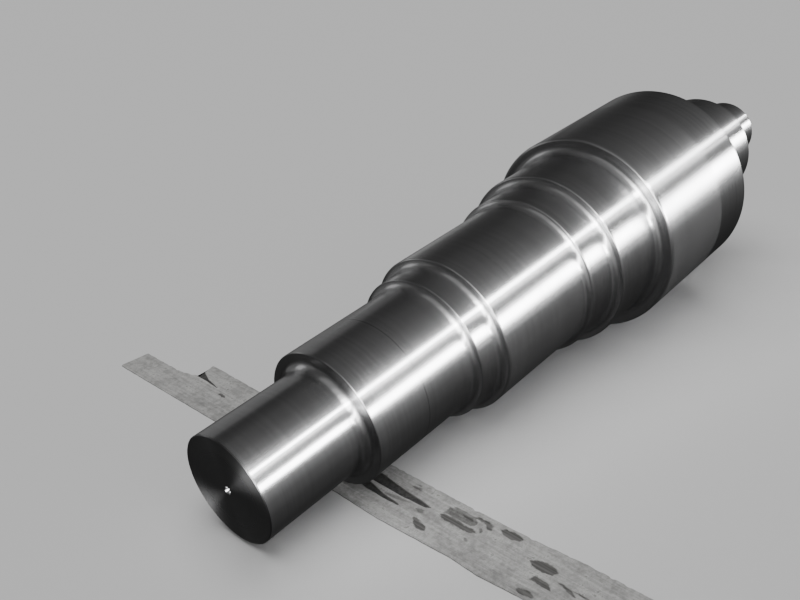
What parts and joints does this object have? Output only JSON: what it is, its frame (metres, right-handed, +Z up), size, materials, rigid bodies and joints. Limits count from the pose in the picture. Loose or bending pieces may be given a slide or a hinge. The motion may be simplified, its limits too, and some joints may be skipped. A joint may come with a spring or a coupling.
{
  "type": "steam turbine rotor",
  "caption": "Stepped one-piece steel rotor forging, finish-turned and still unbladed, lying nose down with its collar on a thin timber board.",
  "frame": {"origin": "on the floor, under the middle of the bounding box", "axes": "+X along the rotor from the small front journal towards the body, level; +Z up; +Y along the board. The rotor's own axis lies in the XZ plane and climbs about 6.6 degrees towards +X"},
  "size_m": [2.8102, 2, 0.777],
  "materials": {
    "turned_steel": "fine circumferential turning marks, lightly oiled",
    "weathered_timber": "rough, greyed, split along the grain"
  },
  "bodies": {
    "root": {"rotor_forging": "turned_steel", "bearer_board": "weathered_timber"}
  },
  "joints": []
}
